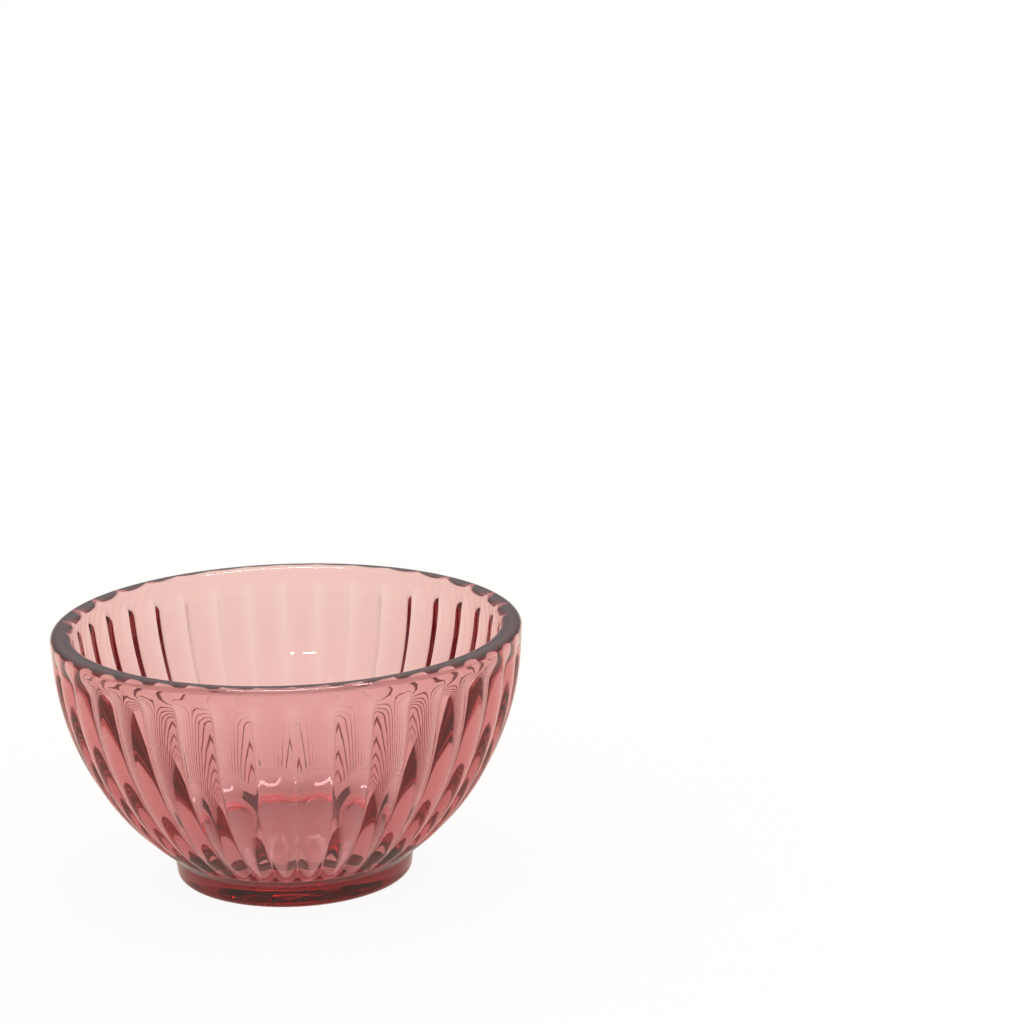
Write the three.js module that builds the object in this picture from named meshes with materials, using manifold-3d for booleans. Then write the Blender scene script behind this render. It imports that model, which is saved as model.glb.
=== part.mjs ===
// Pressed glass trinket bowl with a ribbed wall, in millimetres, +Z up.
// The origin is the centre of the flat base that the bowl stands on.
// The bowl is one piece of glass: a revolved blank whose wall is pressed into ribs, with the inside cut out.

import * as THREE from 'three';
import { mergeVertices } from 'three/addons/utils/BufferGeometryUtils.js';
import Module from 'manifold-3d';

// Overall sizes
const RIM_DIAMETER = 108;
const HEIGHT = 59.8;

// Rim: rounded over to both sides from a narrow crest in its middle
const RIM_THICKNESS = 4.8;
const RIM_OUTER_RUN = 2.3;
const RIM_OUTER_DROP = 1.6;
const RIM_INNER_RUN = 2.3;
const RIM_INNER_DROP = 1.5;

// Foot: a low solid disc with a flat base, a well rounded lower edge and a side that draws in a little
const FOOT_DIAMETER = 55.8;
const FOOT_HEIGHT = 5.4;
const FOOT_TAPER = 0.5;
const FOOT_EDGE_ROUND = 1.6;

// Inside: a curve a little slimmer than an ellipse, cut off by a flat floor with a soft corner
const FLOOR_THICKNESS = 6.3;
const FLOOR_CUT = 5.6;
const FLOOR_CORNER = 2.0;
const INSIDE_FULLNESS = 1.75;

// Ribs: rounded on top with a sharp valley between neighbours, and blunt ends above a plain collar.
// The collar meets the ribs at a share of the valleys' depth below the rib tops.
const RIB_COUNT = 38;
const RIB_ROUNDNESS = 1.8;
const RIB_DEPTH_AT_RIM = 1.5;
const RIB_DEPTH_AT_FOOT = 1.2;
const PLAIN_BAND = 2.8;
const RIB_TOP_RUN = 5.0;
const RIB_END_DIAMETER = 59.9;
const RIB_END_HEIGHT = 7.5;
const RIB_END_ROUND = 0.8;
const COLLAR_LEVEL = 0.25;
const FIRST_VALLEY_ANGLE = THREE.MathUtils.degToRad(0.25);

// Fineness of the facets
const FACETS_PER_RIB = 6;
const WALL_STATIONS = 9;
const INSIDE_SEGMENTS = 2 * RIB_COUNT;
const INSIDE_STATIONS = 12;
const RIM_STATIONS = 3;
const FOOT_STATIONS = 2;

// How far a cutter reaches past the face that it opens
const CUT_MARGIN = 2;

// Places worked out from the sizes above
const rimRadius = RIM_DIAMETER / 2;
const footRadius = FOOT_DIAMETER / 2;
const footLowRadius = footRadius - FOOT_TAPER;
const ribEndRadius = RIB_END_DIAMETER / 2;
const insideRadius = rimRadius - RIM_THICKNESS;
const wallTop = HEIGHT - RIM_OUTER_DROP;
const wallReach = (wallTop - RIB_END_HEIGHT) / Math.sqrt(1 - (ribEndRadius / rimRadius) ** 2);
const ribTop = HEIGHT - PLAIN_BAND;

const wasm = await Module();
wasm.setup();

// An oval edge about its centre, from startAngle to endAngle, with its first point left out.
function roundEdge(centreR, centreZ, run, rise, startAngle, endAngle, stations) {
  const points = [];
  for (let i = 1; i <= stations; i += 1) {
    const angle = startAngle + ((endAngle - startAngle) * i) / stations;
    points.push(new THREE.Vector2(centreR + run * Math.cos(angle), centreZ + rise * Math.sin(angle)));
  }
  return points;
}

// The wall's outline over the rib tops is part of an ellipse, upright under the rim, down to the ribs' ends.
function wallOutline() {
  const lowest = Math.asin((wallTop - RIB_END_HEIGHT) / wallReach);
  const points = [];
  for (let i = 0; i <= WALL_STATIONS; i += 1) {
    // Stations crowd towards both ends, where the ribs run out.
    const share = (1 - Math.cos((Math.PI * i) / WALL_STATIONS)) / 2;
    const angle = lowest * (1 - share);
    points.push(new THREE.Vector2(rimRadius * Math.cos(angle), wallTop - wallReach * Math.sin(angle)));
  }
  return points;
}

// Full outline of the blank, from the axis under the foot, up the outside, to the axis at the rim's height.
function blankOutline() {
  const edge = FOOT_EDGE_ROUND;
  const crestRadius = rimRadius - RIM_OUTER_RUN;
  return [
    new THREE.Vector2(0, 0),
    new THREE.Vector2(footLowRadius - edge, 0),
    ...roundEdge(footLowRadius - edge, edge, edge, edge, -Math.PI / 2, 0, FOOT_STATIONS),
    new THREE.Vector2(footRadius, FOOT_HEIGHT),
    ...wallOutline(),
    ...roundEdge(crestRadius, wallTop, RIM_OUTER_RUN, RIM_OUTER_DROP, 0, Math.PI / 2, RIM_STATIONS),
    new THREE.Vector2(0, HEIGHT),
  ];
}

// How deep the glass is pressed in below the rib tops, at a height and an angle round the axis.
// At the ribs' lower ends the whole ring lies at the collar's level, and ribs and valleys grow from it roundly.
function pressedDepth(height, angle) {
  const pitch = (2 * Math.PI) / RIB_COUNT;
  const turns = (angle - FIRST_VALLEY_ANGLE) / pitch;
  const fromValley = Math.abs(turns - Math.round(turns));
  const section = (1 - 2 * fromValley) ** RIB_ROUNDNESS;
  const risen = THREE.MathUtils.clamp((height - RIB_END_HEIGHT) / RIB_END_ROUND, 0, 1);
  const ribShare = Math.sqrt(1 - (1 - risen) ** 2);
  const runOut = 1 - THREE.MathUtils.smoothstep(height, ribTop - RIB_TOP_RUN, ribTop);
  const share = (height - RIB_END_HEIGHT) / (ribTop - RIB_END_HEIGHT);
  const depth = THREE.MathUtils.lerp(RIB_DEPTH_AT_FOOT, RIB_DEPTH_AT_RIM, share);
  return depth * THREE.MathUtils.lerp(COLLAR_LEVEL, section, ribShare) * runOut;
}

// A revolved solid about +Z, with its faces pointing out and its shared corners merged.
function revolve(outline, segments) {
  const geometry = new THREE.LatheGeometry(outline, segments);
  geometry.rotateX(Math.PI / 2);
  geometry.deleteAttribute('normal');
  geometry.deleteAttribute('uv');
  return mergeVertices(geometry);
}

// Presses the ribs into the blank: each wall point moves in by the pressed depth, square to the outline.
function pressRibs(geometry) {
  const position = geometry.getAttribute('position');
  const point = new THREE.Vector3();
  const outward = new THREE.Vector2();
  for (let i = 0; i < position.count; i += 1) {
    point.fromBufferAttribute(position, i);
    const isWall = point.z > (FOOT_HEIGHT + RIB_END_HEIGHT) / 2;
    const depth = isWall ? pressedDepth(point.z, Math.atan2(point.y, point.x)) : 0;
    if (depth > 0) {
      const radius = Math.hypot(point.x, point.y);
      outward.set(radius / rimRadius ** 2, (point.z - wallTop) / wallReach ** 2).normalize();
      const shrink = 1 - (depth * outward.x) / radius;
      position.setXYZ(i, point.x * shrink, point.y * shrink, point.z - depth * outward.y);
    }
  }
}

function toSolid(geometry) {
  const vertProperties = Float32Array.from(geometry.getAttribute('position').array);
  const triVerts = Uint32Array.from(geometry.getIndex().array);
  return new wasm.Manifold(new wasm.Mesh({ numProp: 3, vertProperties, triVerts }));
}

function toGeometry(solid) {
  const mesh = solid.getMesh();
  const geometry = new THREE.BufferGeometry();
  geometry.setAttribute('position', new THREE.BufferAttribute(mesh.vertProperties, 3));
  geometry.setIndex(new THREE.BufferAttribute(mesh.triVerts, 1));
  geometry.computeVertexNormals();
  return geometry;
}

// The blank with its ribs, before it is hollowed.
function ribbedBlank() {
  const geometry = revolve(blankOutline(), RIB_COUNT * FACETS_PER_RIB);
  geometry.rotateZ(FIRST_VALLEY_ANGLE);
  pressRibs(geometry);
  return toSolid(geometry);
}

// The hollow: its curve would run on below the floor by the floor cut, and bends softly into the flat floor.
function hollow() {
  const depth = wallTop - FLOOR_THICKNESS + FLOOR_CUT;
  const outline = [];
  for (let i = 0; i <= INSIDE_STATIONS; i += 1) {
    const angle = (Math.PI / 2) * (i / INSIDE_STATIONS);
    const radius = insideRadius * Math.sin(angle) ** (2 / INSIDE_FULLNESS);
    const drop = depth * Math.cos(angle) ** (2 / INSIDE_FULLNESS);
    const aboveFloor = wallTop - drop - FLOOR_THICKNESS;
    const lifted = (aboveFloor + Math.hypot(aboveFloor, FLOOR_CORNER)) / 2;
    outline.push(new THREE.Vector2(radius, FLOOR_THICKNESS + lifted));
  }
  const crestRadius = insideRadius + RIM_INNER_RUN;
  const edgeBottom = HEIGHT - RIM_INNER_DROP;
  outline.push(
    new THREE.Vector2(insideRadius, edgeBottom),
    ...roundEdge(crestRadius, edgeBottom, RIM_INNER_RUN, RIM_INNER_DROP, Math.PI, Math.PI / 2, RIM_STATIONS),
  );
  outline.push(new THREE.Vector2(crestRadius, HEIGHT + CUT_MARGIN));
  outline.push(new THREE.Vector2(0, HEIGHT + CUT_MARGIN));
  return toSolid(revolve(outline, INSIDE_SEGMENTS));
}

function glassBowl() {
  const solid = ribbedBlank().subtract(hollow());
  const pinkGlass = new THREE.MeshStandardMaterial({ color: 0xd8958c, roughness: 0.04, metalness: 0 });
  const mesh = new THREE.Mesh(toGeometry(solid), pinkGlass);
  mesh.name = 'glass_bowl';
  return mesh;
}

const bowl = new THREE.Group();
bowl.name = 'trinket_bowl';
bowl.add(glassBowl());

export default bowl;
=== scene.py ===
"""Ribbed pressed-glass trinket bowl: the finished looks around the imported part, in metres, +Z up."""

import math

import bpy
import numpy as np
from bpy.props import FloatProperty, FloatVectorProperty, IntProperty, PointerProperty
from mathutils import Matrix, Vector


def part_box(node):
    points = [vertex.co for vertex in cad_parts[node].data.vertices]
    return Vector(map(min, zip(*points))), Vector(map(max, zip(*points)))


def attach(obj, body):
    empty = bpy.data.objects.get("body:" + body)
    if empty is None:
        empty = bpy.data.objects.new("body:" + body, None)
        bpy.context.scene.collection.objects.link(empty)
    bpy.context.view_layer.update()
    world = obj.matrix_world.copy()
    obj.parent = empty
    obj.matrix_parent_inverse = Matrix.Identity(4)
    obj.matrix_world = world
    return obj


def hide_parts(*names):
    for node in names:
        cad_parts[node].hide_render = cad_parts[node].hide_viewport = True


bl_info = {
    "name": "Ribbed Glass Trinket Bowl",
    "version": (1, 0, 0),
    "blender": (4, 5, 0),
    "location": "3D View > Sidebar > Trinket Bowl",
    "description": "Presses a small glass bowl with a ribbed wall, and sets a plain stage round it",
    "category": "Add Mesh",
}

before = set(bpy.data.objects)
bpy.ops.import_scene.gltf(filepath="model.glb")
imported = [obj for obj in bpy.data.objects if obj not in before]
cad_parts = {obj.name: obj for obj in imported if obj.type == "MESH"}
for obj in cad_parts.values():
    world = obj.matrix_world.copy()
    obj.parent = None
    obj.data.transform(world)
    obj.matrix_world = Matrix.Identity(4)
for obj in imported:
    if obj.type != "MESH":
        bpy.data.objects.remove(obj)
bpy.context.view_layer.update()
BOWL_LOW, BOWL_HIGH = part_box("glass_bowl")

MM = 0.001
WHITE = (1, 1, 1, 1)
QUARTER_TURN = math.pi / 2

# How far along half a rib the mesh lines lie, from its valley to its crest: close together at the valley.
RIB_LINES = (0.0, 0.045, 0.11, 0.22, 0.42, 0.70, 1.0)

# Rows of mesh points along each part of the outline
BASE_ROWS = 4
FOOT_EDGE_ROWS = 9
FOOT_SIDE_ROWS = 5
FOOT_TOP_ROWS = 6
COLLAR_ROWS = 5
RIB_END_ROWS = 14
WALL_ROWS = 90
RIM_OUTER_ROWS = 14
RIM_INNER_ROWS = 11
INSIDE_ROWS = 60

# Skin of the glass: fineness of the ripples, polish patches to one ripple, and the noise levels they span
RIPPLE_DETAIL = 1.5
PATCHES_PER_RIPPLE = 3
PATCH_NOISE_LOW = 0.35
PATCH_NOISE_HIGH = 0.7

# Floor, a little below the base so that the two never touch, and how far the camera sees it as white
FLOOR_RADIUS = 3.0
FLOOR_LEVEL = -0.0002
FLOOR_SIDES = 96
FLOOR_ROUGHNESS = 0.8
FLOOR_WHITENESS = 0.92

# Elevations between which the room's light grows from its low colour to its high one
LOW_ROOM_TOP = math.radians(8)
HIGH_ROOM_BOTTOM = math.radians(40)

# Lamps, each with its place and its width and depth
OVERHEAD_PLACE = (0.04, 0.14, 0.9)
OVERHEAD_SIZE = (0.5, 0.07)
WIDE_STRIP_PLACE = (-0.186, -1.1, 0.64)
WIDE_STRIP_SIZE = (0.147, 0.009)
SHORT_STRIP_PLACE = (0.025, -1.1, 0.64)
SHORT_STRIP_SIZE = (0.04, 0.009)

# Camera: the picture's width and focal length in pixels, the sensor in millimetres, and its place and angles
IMAGE_WIDTH = 1024
FOCAL_LENGTH = 3193.4
SENSOR_WIDTH = 36.0
CAMERA_PLACE = (0.052178, -0.706123, 0.258492)
CAMERA_PITCH = 0.2414
CAMERA_ROLL = -0.0179
NEAREST_SEEN = 0.01

# How often light may bounce on its way through the glass
MOST_BOUNCES = 24
MIRROR_BOUNCES = 16


def length(name, description, default):
    """A size in metres that a user may change."""
    return FloatProperty(
        name=name, description=description, default=default, min=0.0, unit="LENGTH", precision=5)


class BowlSizes(bpy.types.PropertyGroup):
    """Sizes of the bowl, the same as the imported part's."""

    rim_diameter: length(
        "Rim diameter", "Width across the outside of the rim", BOWL_HIGH.x - BOWL_LOW.x)
    height: length("Height", "From the table to the top of the rim", BOWL_HIGH.z)
    rim_thickness: length("Rim thickness", "Thickness of the glass at the rim", 4.8 * MM)
    rim_outer_run: length(
        "Rim outer run", "Width of the rim's fall from its crest to the outside", 2.3 * MM)
    rim_outer_drop: length("Rim outer drop", "Height of that fall", 1.6 * MM)
    rim_inner_run: length(
        "Rim inner run", "Width of the rim's fall from its crest to the inside", 2.3 * MM)
    rim_inner_drop: length("Rim inner drop", "Height of that fall", 1.5 * MM)
    foot_diameter: length("Foot diameter", "Width across the top of the foot", 55.8 * MM)
    foot_height: length("Foot height", "Height of the foot's side", 5.4 * MM)
    foot_taper: length(
        "Foot taper", "How far the side draws in from its top to its lower edge", 0.5 * MM)
    foot_edge_round: length("Foot edge round", "Radius of the foot's lower edge", 1.6 * MM)
    foot_top_round: length("Foot top round", "Rounding of the foot's upper edge", 0.3 * MM)
    floor_thickness: length(
        "Floor thickness", "Glass between the base and the flat floor inside", 6.3 * MM)
    floor_cut: length(
        "Floor cut", "How far the inside curve would run on below the floor", 5.6 * MM)
    floor_corner: length(
        "Floor corner", "Softness of the bend between the inside curve and the floor", 2.0 * MM)
    inside_fullness: FloatProperty(
        name="Inside fullness", description="2 is an ellipse, and less is slimmer", default=1.75,
        min=1.2, max=4.0)
    rib_count: IntProperty(
        name="Ribs", description="Number of ribs round the wall", default=38, min=8, max=60)
    rib_roundness: FloatProperty(
        name="Rib roundness", description="2 is a round crest, and more is flatter", default=1.8,
        min=1.0, max=5.0)
    rib_depth_at_rim: length(
        "Rib depth at the rim", "Depth of a valley at the top of the wall", 1.5 * MM)
    rib_depth_at_foot: length(
        "Rib depth at the foot", "Depth of a valley at the bottom of the wall", 1.2 * MM)
    valley_softness: FloatProperty(
        name="Valley softness", description="Rounding of a valley, as a share of half a rib",
        default=0.07, min=0.0, max=0.5)
    plain_band: length(
        "Plain band", "Smooth band between the ribs and the top of the rim", 2.8 * MM)
    rib_top_run: length(
        "Rib top run", "Height over which a valley runs out below the plain band", 5.0 * MM)
    rib_end_diameter: length(
        "Rib end diameter", "Width across the rib tops at their lower ends", 59.9 * MM)
    rib_end_height: length("Rib end height", "Height of the ribs' blunt lower ends", 7.5 * MM)
    rib_end_round: length(
        "Rib end round", "Height over which a rib rises from the collar", 0.8 * MM)
    collar_level: FloatProperty(
        name="Collar level",
        description="Depth of the collar below the rib tops, as a share of a valley's depth",
        default=0.25, min=0.0, max=1.0)
    first_valley: FloatProperty(
        name="First valley", description="Angle of the first valley round the bowl",
        default=math.radians(0.25), subtype="ANGLE")


class GlassFinish(bpy.types.PropertyGroup):
    """Colour and surface of the glass."""

    tint: FloatVectorProperty(
        name="Tint", description="Colour that the glass lets through", default=(0.70, 0.0, 0.06),
        size=3, min=0.0, max=1.0, subtype="COLOR")
    density: FloatProperty(
        name="Tint density", description="How fast the tint builds up, per metre of glass",
        default=92.0, min=0.0)
    bending: FloatProperty(
        name="Index of refraction", description="How much the glass bends light", default=1.5,
        min=1.0, max=2.5)
    ripple_width: length("Ripple width", "Spacing of the faint waves that pressing leaves", 9.0 * MM)
    ripple_height: length("Ripple height", "Height of those waves", 0.035 * MM)
    polish: FloatProperty(
        name="Polish", description="Greatest roughness of the fire-polished skin", default=0.02,
        min=0.0, max=0.3)


class StageLook(bpy.types.PropertyGroup):
    """Colours and light of the stage."""

    floor_colour: FloatVectorProperty(
        name="Floor colour", description="Pale floor under the bowl", default=(0.96, 0.865, 0.765),
        size=3, min=0.0, max=1.0, subtype="COLOR")
    room_colour: FloatVectorProperty(
        name="Room colour", description="Soft light from above", default=(1.0, 0.965, 0.915),
        size=3, min=0.0, max=1.0, subtype="COLOR")
    room_strength: FloatProperty(
        name="Room strength", description="Level of the light from above", default=1.3, min=0.0)
    low_room_colour: FloatVectorProperty(
        name="Low room colour", description="Dimmer light from the sides, near the level of the floor",
        default=(0.42, 0.40, 0.43), size=3, min=0.0, max=1.0, subtype="COLOR")
    glass_share: FloatProperty(
        name="White in glass",
        description="How far glass shows the floor by its own light, as the camera does",
        default=0.5, min=0.0, max=1.0)
    lamp_power: FloatProperty(
        name="Lamp power", description="Soft lamp above", default=2.8, min=0.0, unit="POWER")
    wide_strip_power: FloatProperty(
        name="Wide strip power", description="Long thin lamp in front", default=0.9, min=0.0,
        unit="POWER")
    short_strip_power: FloatProperty(
        name="Short strip power", description="Short thin lamp in front", default=0.3, min=0.0,
        unit="POWER")


def rounded(centre, run, rise, start, end, rows):
    """Points on an ellipse about a centre, from the start angle to the end angle: radius = centre +
    run * cos(a) and height = centre + rise * sin(a)."""
    angle = np.linspace(start, end, rows)
    return np.stack([centre[0] + run * np.cos(angle), centre[1] + rise * np.sin(angle)], 1)


def straight(start, end, rows):
    """Evenly spaced points on a line."""
    return np.linspace(start, end, rows)


def wall_reach(sizes):
    """Half height of the wall's ellipse, which is upright under the rim and passes through the ribs' ends:
    drop / sqrt(1 - (end / rim)^2)."""
    drop = sizes.height - sizes.rim_outer_drop - sizes.rib_end_height
    return drop / math.sqrt(1 - (sizes.rib_end_diameter / sizes.rim_diameter) ** 2)


def wall_outward(sizes, wall):
    """Directions square to the wall's ellipse at rows of (radius, height): (radius / rim^2, (height - top) /
    reach^2), each made one unit long."""
    top = sizes.height - sizes.rim_outer_drop
    across = wall[:, 0] / (sizes.rim_diameter / 2) ** 2
    upward = (wall[:, 1] - top) / wall_reach(sizes) ** 2
    outward = np.stack([across, upward], 1)
    return outward / np.linalg.norm(outward, axis=1)[:, None]


def wall_outline(sizes):
    """The ellipse over the rib tops, from the ribs' ends to the rim: radius = rim * cos(a) and height =
    top - reach * sin(a). Rows crowd where the ribs end, so that their round ends stay smooth."""
    top = sizes.height - sizes.rim_outer_drop
    reach = wall_reach(sizes)
    ends = sizes.rib_end_height + sizes.rib_end_round * np.linspace(0, 1, RIB_END_ROWS) ** 2
    low_angle = np.arcsin((top - ends) / reach)
    angle = np.concatenate([low_angle, np.linspace(low_angle[-1], 0, WALL_ROWS)[1:]])
    return np.stack([sizes.rim_diameter / 2 * np.cos(angle), top - reach * np.sin(angle)], 1)


def inside_curve(sizes):
    """The inside: radius = widest * cos(a)^(2/n) and drop = depth * sin(a)^(2/n), for a from 0 to a right
    angle. A height h above the floor becomes (h + sqrt(h^2 + corner^2)) / 2, so that the curve bends
    softly into the floor where it would pass it."""
    top = sizes.height - sizes.rim_outer_drop
    floor = sizes.floor_thickness
    power = 2 / sizes.inside_fullness
    angle = np.linspace(0, QUARTER_TURN, INSIDE_ROWS)
    radius = (sizes.rim_diameter / 2 - sizes.rim_thickness) * np.cos(angle).clip(0) ** power
    above = top - (top - floor + sizes.floor_cut) * np.sin(angle) ** power - floor
    lifted = (above + np.hypot(above, sizes.floor_corner)) / 2
    return np.stack([radius, floor + lifted], 1)


def bent(before, corner, after, size, rows):
    """A corner rounded off by a curve that starts and ends at a size from it: corner + size *
    ((1 - s)^2 * back + s^2 * ahead), for s from 0 to 1, with back and ahead the directions to the points
    before and after."""
    before, corner, after = (np.array(point) for point in (before, corner, after))
    back = (before - corner) / np.linalg.norm(before - corner)
    ahead = (after - corner) / np.linalg.norm(after - corner)
    share = np.linspace(0, 1, rows)[:, None]
    return corner + size * ((1 - share) ** 2 * back + share ** 2 * ahead)


def bowl_outline(sizes):
    """Closed outline of the glass as rows of (radius, height), from the axis under the foot, round the
    outside and over the rim, to the axis inside. Also tells which rows are the wall that takes the ribs."""
    rim = sizes.rim_diameter / 2
    foot = sizes.foot_diameter / 2
    foot_low = foot - sizes.foot_taper
    edge = sizes.foot_edge_round
    outer_side = (rim - sizes.rim_outer_run, sizes.height - sizes.rim_outer_drop)
    inner_side = (rim - sizes.rim_thickness + sizes.rim_inner_run, sizes.height - sizes.rim_inner_drop)
    wall = wall_outline(sizes)
    collar_depth = sizes.collar_level * sizes.rib_depth_at_foot
    collar_top = wall[0] - collar_depth * wall_outward(sizes, wall)[0]
    lower_edge = rounded((foot_low - edge, edge), edge, edge, -QUARTER_TURN, 0, FOOT_EDGE_ROWS)
    upper_edge = bent(
        (foot_low, edge), (foot, sizes.foot_height), collar_top, sizes.foot_top_round, FOOT_TOP_ROWS)
    rim_outside = rounded(
        outer_side, sizes.rim_outer_run, sizes.rim_outer_drop, 0, QUARTER_TURN, RIM_OUTER_ROWS)
    rim_inside = rounded(
        inner_side, sizes.rim_inner_run, sizes.rim_inner_drop, QUARTER_TURN, 2 * QUARTER_TURN,
        RIM_INNER_ROWS)
    parts = [
        straight((0, 0), lower_edge[0], BASE_ROWS)[:-1],
        lower_edge,
        straight(lower_edge[-1], upper_edge[0], FOOT_SIDE_ROWS)[1:-1],
        upper_edge,
        straight(upper_edge[-1], collar_top, COLLAR_ROWS)[1:-1],
        wall,
        rim_outside[1:],
        rim_inside,
        inside_curve(sizes),
    ]
    is_wall = np.concatenate([np.full(len(part), part is wall) for part in parts])
    return np.concatenate(parts), is_wall


def smooth_step(value, low, high):
    """0 below low, 1 above high, and 3s^2 - 2s^3 between."""
    share = ((value - low) / (high - low)).clip(0, 1)
    return share * share * (3 - 2 * share)


def valley_depth(sizes, height, from_valley):
    """Depth pressed below the crests: depth * (1 - v)^roundness, with v from 0 in a valley to 1 on a crest,
    softened in the valley. At the lower ends the whole ring lies at the collar's level, and ribs and valleys
    grow from it in a round. Towards the plain band the valleys run out."""
    bottom = sizes.rib_end_height
    top = sizes.height - sizes.plain_band
    soft = np.hypot(from_valley, sizes.valley_softness)
    section = (1 - soft).clip(0) ** sizes.rib_roundness
    share = ((height - bottom) / (top - bottom)).clip(0, 1)
    depth = sizes.rib_depth_at_foot + (sizes.rib_depth_at_rim - sizes.rib_depth_at_foot) * share
    risen = ((height - bottom) / sizes.rib_end_round).clip(0, 1)
    rib_share = np.sqrt(1 - (1 - risen) ** 2)
    run_out = 1 - smooth_step(height, top - sizes.rib_top_run, top)
    level = sizes.collar_level
    return (depth * run_out)[:, None] * (level + np.outer(rib_share, section - level))


def bowl_surface(sizes):
    """The outline turned about the axis on a grid of rows and angles, with each wall point moved in, square
    to the wall's ellipse, by the valley depth at its height and angle."""
    outline, is_wall = bowl_outline(sizes)
    half = np.array(RIB_LINES)
    from_valley = np.concatenate([half[:-1], half[:0:-1]])
    within = np.concatenate([half[:-1] / 2, 1 - half[:0:-1] / 2])
    pitch = 2 * math.pi / sizes.rib_count
    turns = (np.arange(sizes.rib_count)[:, None] + within[None, :]).ravel()
    angle = sizes.first_valley + pitch * turns
    columns = len(angle)
    radius = np.repeat(outline[:, :1], columns, 1)
    height = np.repeat(outline[:, 1:], columns, 1)
    wall = outline[is_wall]
    outward = wall_outward(sizes, wall)
    depth = valley_depth(sizes, wall[:, 1], np.tile(from_valley, sizes.rib_count))
    radius[is_wall] -= depth * outward[:, :1]
    height[is_wall] -= depth * outward[:, 1:]
    return np.stack([radius * np.cos(angle), radius * np.sin(angle), height], -1)


def closed_mesh(name, surface):
    """A mesh from a grid that starts and ends on the axis: quads round the rows, and a fan at each pole."""
    rows, columns = surface.shape[:2]
    body = surface[1:-1].reshape(-1, 3)
    points = np.concatenate([body, surface[0, :1], surface[-1, :1]])
    row = np.arange(rows - 3)[:, None] * columns
    here = np.arange(columns)[None, :]
    after = (here + 1) % columns
    corners = [row + here, row + after, row + columns + after, row + columns + here]
    quads = np.stack(corners, -1).reshape(-1, 4)
    low = np.full(columns, len(body))
    last = (rows - 3) * columns
    low_fan = np.stack([low, after[0], here[0]], -1)
    high_fan = np.stack([low + 1, last + here[0], last + after[0]], -1)
    mesh = bpy.data.meshes.new(name)
    mesh.from_pydata(points.tolist(), [], quads.tolist() + low_fan.tolist() + high_fan.tolist())
    mesh.polygons.foreach_set("use_smooth", np.ones(len(mesh.polygons), bool))
    mesh.update()
    return mesh


def add_node(tree, kind, **settings):
    """Adds a node to a tree and sets its own settings."""
    node = tree.nodes.new(kind)
    for key, value in settings.items():
        setattr(node, key, value)
    return node


def pink_glass(finish):
    """Clear glass with its tint all through, faint ripples from the mould and a slightly uneven polish."""
    material = bpy.data.materials.new("pink_glass")
    material.use_nodes = True
    tree = material.node_tree
    output = tree.nodes["Material Output"]
    skin = tree.nodes["Principled BSDF"]
    skin.inputs["Base Color"].default_value = WHITE
    skin.inputs["IOR"].default_value = finish.bending
    skin.inputs["Transmission Weight"].default_value = 1.0
    place = add_node(tree, "ShaderNodeTexCoord")
    ripples = add_node(tree, "ShaderNodeTexNoise")
    ripples.inputs["Scale"].default_value = 1 / finish.ripple_width
    ripples.inputs["Detail"].default_value = RIPPLE_DETAIL
    tree.links.new(place.outputs["Object"], ripples.inputs["Vector"])
    bump = add_node(tree, "ShaderNodeBump")
    bump.inputs["Strength"].default_value = 1.0
    bump.inputs["Distance"].default_value = finish.ripple_height
    tree.links.new(ripples.outputs["Fac"], bump.inputs["Height"])
    tree.links.new(bump.outputs["Normal"], skin.inputs["Normal"])
    patches = add_node(tree, "ShaderNodeTexNoise")
    patches.inputs["Scale"].default_value = PATCHES_PER_RIPPLE / finish.ripple_width
    tree.links.new(place.outputs["Object"], patches.inputs["Vector"])
    polish = add_node(tree, "ShaderNodeMapRange")
    polish.inputs["From Min"].default_value = PATCH_NOISE_LOW
    polish.inputs["From Max"].default_value = PATCH_NOISE_HIGH
    polish.inputs["To Min"].default_value = 0.0
    polish.inputs["To Max"].default_value = finish.polish
    tree.links.new(patches.outputs["Fac"], polish.inputs["Value"])
    tree.links.new(polish.outputs["Result"], skin.inputs["Roughness"])
    tint = add_node(tree, "ShaderNodeVolumeAbsorption")
    tint.inputs["Color"].default_value = (*finish.tint, 1)
    tint.inputs["Density"].default_value = finish.density
    tree.links.new(tint.outputs["Volume"], output.inputs["Volume"])
    return material


def seen_as_background(tree, by_camera, in_glass):
    """One share where the camera sees a surface straight, another where it sees it in or through glass, and
    0 for light that falls on things."""
    path = add_node(tree, "ShaderNodeLightPath")
    glass = add_node(tree, "ShaderNodeMath", operation="MAXIMUM")
    tree.links.new(path.outputs["Is Glossy Ray"], glass.inputs[0])
    tree.links.new(path.outputs["Is Transmission Ray"], glass.inputs[1])
    seen = add_node(tree, "ShaderNodeMath", operation="MULTIPLY")
    tree.links.new(glass.outputs[0], seen.inputs[0])
    seen.inputs[1].default_value = in_glass
    share = add_node(tree, "ShaderNodeMath", operation="MULTIPLY_ADD")
    tree.links.new(path.outputs["Is Camera Ray"], share.inputs[0])
    share.inputs[1].default_value = by_camera
    tree.links.new(seen.outputs[0], share.inputs[2])
    return share.outputs[0]


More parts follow.
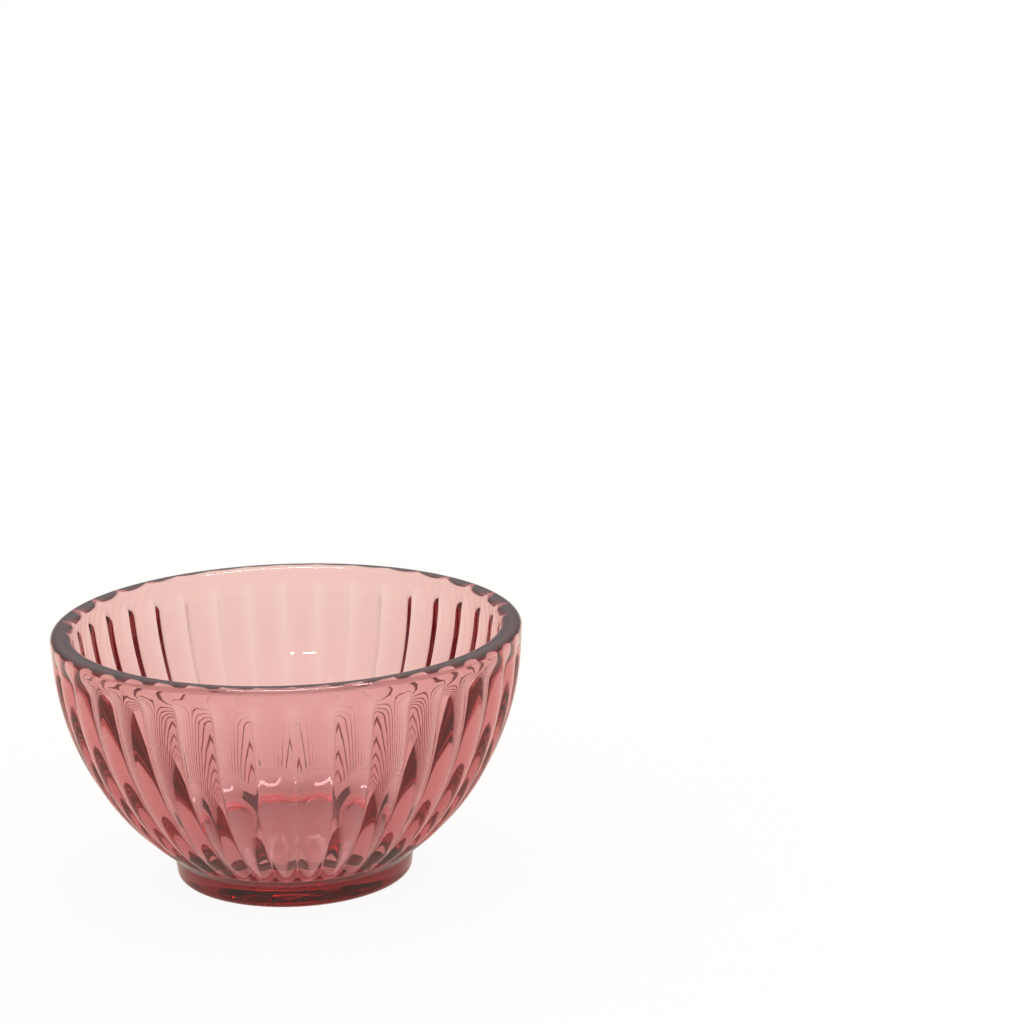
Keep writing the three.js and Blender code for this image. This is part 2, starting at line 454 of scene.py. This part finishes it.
def pale_floor(look):
    """Matt pale floor that the camera sees as white with a soft shadow."""
    material = bpy.data.materials.new("pale_floor")
    material.use_nodes = True
    tree = material.node_tree
    matt = tree.nodes["Principled BSDF"]
    matt.inputs["Base Color"].default_value = (*look.floor_colour, 1)
    matt.inputs["Roughness"].default_value = FLOOR_ROUGHNESS
    glow = add_node(tree, "ShaderNodeEmission")
    glow_colour = add_node(tree, "ShaderNodeMix", data_type="RGBA")
    camera_only = seen_as_background(tree, by_camera=1.0, in_glass=0.0)
    tree.links.new(camera_only, glow_colour.inputs["Factor"])
    glow_colour.inputs["A"].default_value = (*look.floor_colour, 1)
    glow_colour.inputs["B"].default_value = WHITE
    tree.links.new(glow_colour.outputs["Result"], glow.inputs["Color"])
    mix = add_node(tree, "ShaderNodeMixShader")
    glow_share = seen_as_background(tree, by_camera=FLOOR_WHITENESS, in_glass=look.glass_share)
    tree.links.new(glow_share, mix.inputs["Fac"])
    tree.links.new(matt.outputs["BSDF"], mix.inputs[1])
    tree.links.new(glow.outputs["Emission"], mix.inputs[2])
    tree.links.new(mix.outputs["Shader"], tree.nodes["Material Output"].inputs["Surface"])
    return material


def soft_room(look):
    """Soft light from above that fades towards the level of the floor. The camera sees the room as white."""
    world = bpy.data.worlds.new("soft_room")
    world.use_nodes = True
    tree = world.node_tree
    direction = add_node(tree, "ShaderNodeTexCoord")
    parts = add_node(tree, "ShaderNodeSeparateXYZ")
    tree.links.new(direction.outputs["Generated"], parts.inputs["Vector"])
    height = add_node(tree, "ShaderNodeMapRange", interpolation_type="SMOOTHSTEP")
    height.inputs["From Min"].default_value = math.sin(LOW_ROOM_TOP)
    height.inputs["From Max"].default_value = math.sin(HIGH_ROOM_BOTTOM)
    tree.links.new(parts.outputs["Z"], height.inputs["Value"])
    light = add_node(tree, "ShaderNodeMix", data_type="RGBA")
    light.inputs["A"].default_value = (*look.low_room_colour, 1)
    light.inputs["B"].default_value = (*(look.room_strength * Vector(look.room_colour)), 1)
    tree.links.new(height.outputs["Result"], light.inputs["Factor"])
    colour = add_node(tree, "ShaderNodeMix", data_type="RGBA")
    camera_only = seen_as_background(tree, by_camera=1.0, in_glass=0.0)
    tree.links.new(camera_only, colour.inputs["Factor"])
    tree.links.new(light.outputs["Result"], colour.inputs["A"])
    colour.inputs["B"].default_value = WHITE
    tree.links.new(colour.outputs["Result"], tree.nodes["Background"].inputs["Color"])
    return world


def disc_mesh(name, radius, level, sides):
    """A flat round floor as one face at a level, its corners at (radius * cos(a), radius * sin(a))."""
    angle = np.linspace(0, 2 * math.pi, sides, endpoint=False)
    points = np.stack([radius * np.cos(angle), radius * np.sin(angle), np.full(sides, level)], 1)
    mesh = bpy.data.meshes.new(name)
    mesh.from_pydata(points.tolist(), [], [list(range(sides))])
    return mesh


def add_lamp(scene, name, place, size, power):
    """A rectangular lamp of a width and a depth, level along X and tilted towards the bowl. It shows as a
    highlight in the glass and lights nothing else."""
    data = bpy.data.lights.new(name, "AREA")
    data.shape = "RECTANGLE"
    data.size, data.size_y = size
    data.energy = power
    data.use_nodes = True
    tree = data.node_tree
    path = add_node(tree, "ShaderNodeLightPath")
    # The depth counts whole bounces off matt surfaces, so a half parts none from one or more.
    unscattered = add_node(tree, "ShaderNodeMath", operation="LESS_THAN")
    tree.links.new(path.outputs["Diffuse Depth"], unscattered.inputs[0])
    unscattered.inputs[1].default_value = 0.5
    tree.links.new(unscattered.outputs[0], tree.nodes["Emission"].inputs["Strength"])
    lamp = bpy.data.objects.new(name, data)
    lamp.visible_diffuse = False
    lamp.location = place
    lamp.rotation_euler = Vector((0, -place[1], -place[2])).to_track_quat("-Z", "Y").to_euler()
    scene.collection.objects.link(lamp)


def place_camera(scene):
    """Camera at the viewing angle of the picture, with its frame taken as a square. It looks along +Y, dips
    by the pitch, and is turned about its line of sight by the roll."""
    data = bpy.data.cameras.new("view_camera")
    data.sensor_width = SENSOR_WIDTH
    data.lens = SENSOR_WIDTH * FOCAL_LENGTH / IMAGE_WIDTH
    data.clip_start = NEAREST_SEEN
    camera = bpy.data.objects.new("view_camera", data)
    scene.collection.objects.link(camera)
    forward = Vector((0, math.cos(CAMERA_PITCH), -math.sin(CAMERA_PITCH)))
    level_up = Vector((0, math.sin(CAMERA_PITCH), math.cos(CAMERA_PITCH)))
    level_right = Vector((1, 0, 0))
    right = math.cos(CAMERA_ROLL) * level_right + math.sin(CAMERA_ROLL) * level_up
    up = math.cos(CAMERA_ROLL) * level_up - math.sin(CAMERA_ROLL) * level_right
    turn = Matrix((right, up, -forward)).transposed().to_4x4()
    camera.matrix_world = Matrix.Translation(CAMERA_PLACE) @ turn
    scene.camera = camera


class PressBowl(bpy.types.Operator):
    """Press the ribbed bowl from pink glass and put it in place of the plain solid"""

    bl_idname = "trinket_bowl.press_bowl"
    bl_label = "Press the bowl"

    def execute(self, context):
        scene = context.scene
        mesh = closed_mesh("ribbed_glass_bowl", bowl_surface(scene.bowl_sizes))
        bowl = bpy.data.objects.new("ribbed_glass_bowl", mesh)
        scene.collection.objects.link(bowl)
        bowl.data.materials.append(pink_glass(scene.glass_finish))
        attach(bowl, "root")
        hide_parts("glass_bowl")
        return {"FINISHED"}


class SetStage(bpy.types.Operator):
    """Lay the pale floor, light it softly and place the camera"""

    bl_idname = "trinket_bowl.set_stage"
    bl_label = "Set the stage"

    def execute(self, context):
        scene = context.scene
        look = scene.stage_look
        mesh = disc_mesh("pale_floor", FLOOR_RADIUS, FLOOR_LEVEL, FLOOR_SIDES)
        floor = bpy.data.objects.new("pale_floor", mesh)
        scene.collection.objects.link(floor)
        floor.data.materials.append(pale_floor(look))
        scene.world = soft_room(look)
        add_lamp(scene, "overhead_lamp", OVERHEAD_PLACE, OVERHEAD_SIZE, look.lamp_power)
        add_lamp(scene, "wide_strip", WIDE_STRIP_PLACE, WIDE_STRIP_SIZE, look.wide_strip_power)
        add_lamp(scene, "short_strip", SHORT_STRIP_PLACE, SHORT_STRIP_SIZE, look.short_strip_power)
        place_camera(scene)
        scene.view_settings.view_transform = "Standard"
        scene.cycles.max_bounces = MOST_BOUNCES
        scene.cycles.transmission_bounces = MOST_BOUNCES
        scene.cycles.glossy_bounces = MIRROR_BOUNCES
        return {"FINISHED"}


class TrinketBowlPanel(bpy.types.Panel):
    """Lists the bowl's sizes, its glass and the stage"""

    bl_idname = "VIEW3D_PT_trinket_bowl"
    bl_label = "Ribbed glass trinket bowl"
    bl_space_type = "VIEW_3D"
    bl_region_type = "UI"
    bl_category = "Trinket Bowl"

    def draw(self, context):
        layout = self.layout
        scene = context.scene
        groups = {"Bowl": scene.bowl_sizes, "Glass": scene.glass_finish, "Stage": scene.stage_look}
        for title, group in groups.items():
            box = layout.box()
            box.label(text=title)
            for key in group.__annotations__:
                box.prop(group, key)
        layout.operator(PressBowl.bl_idname)
        layout.operator(SetStage.bl_idname)


CLASSES = (BowlSizes, GlassFinish, StageLook, PressBowl, SetStage, TrinketBowlPanel)


def register():
    for cls in CLASSES:
        bpy.utils.register_class(cls)
    bpy.types.Scene.bowl_sizes = PointerProperty(type=BowlSizes)
    bpy.types.Scene.glass_finish = PointerProperty(type=GlassFinish)
    bpy.types.Scene.stage_look = PointerProperty(type=StageLook)


def unregister():
    del bpy.types.Scene.stage_look
    del bpy.types.Scene.glass_finish
    del bpy.types.Scene.bowl_sizes
    for cls in reversed(CLASSES):
        bpy.utils.unregister_class(cls)


def main():
    register()
    bpy.ops.trinket_bowl.press_bowl()
    bpy.ops.trinket_bowl.set_stage()


if __name__ == "__main__":
    main()
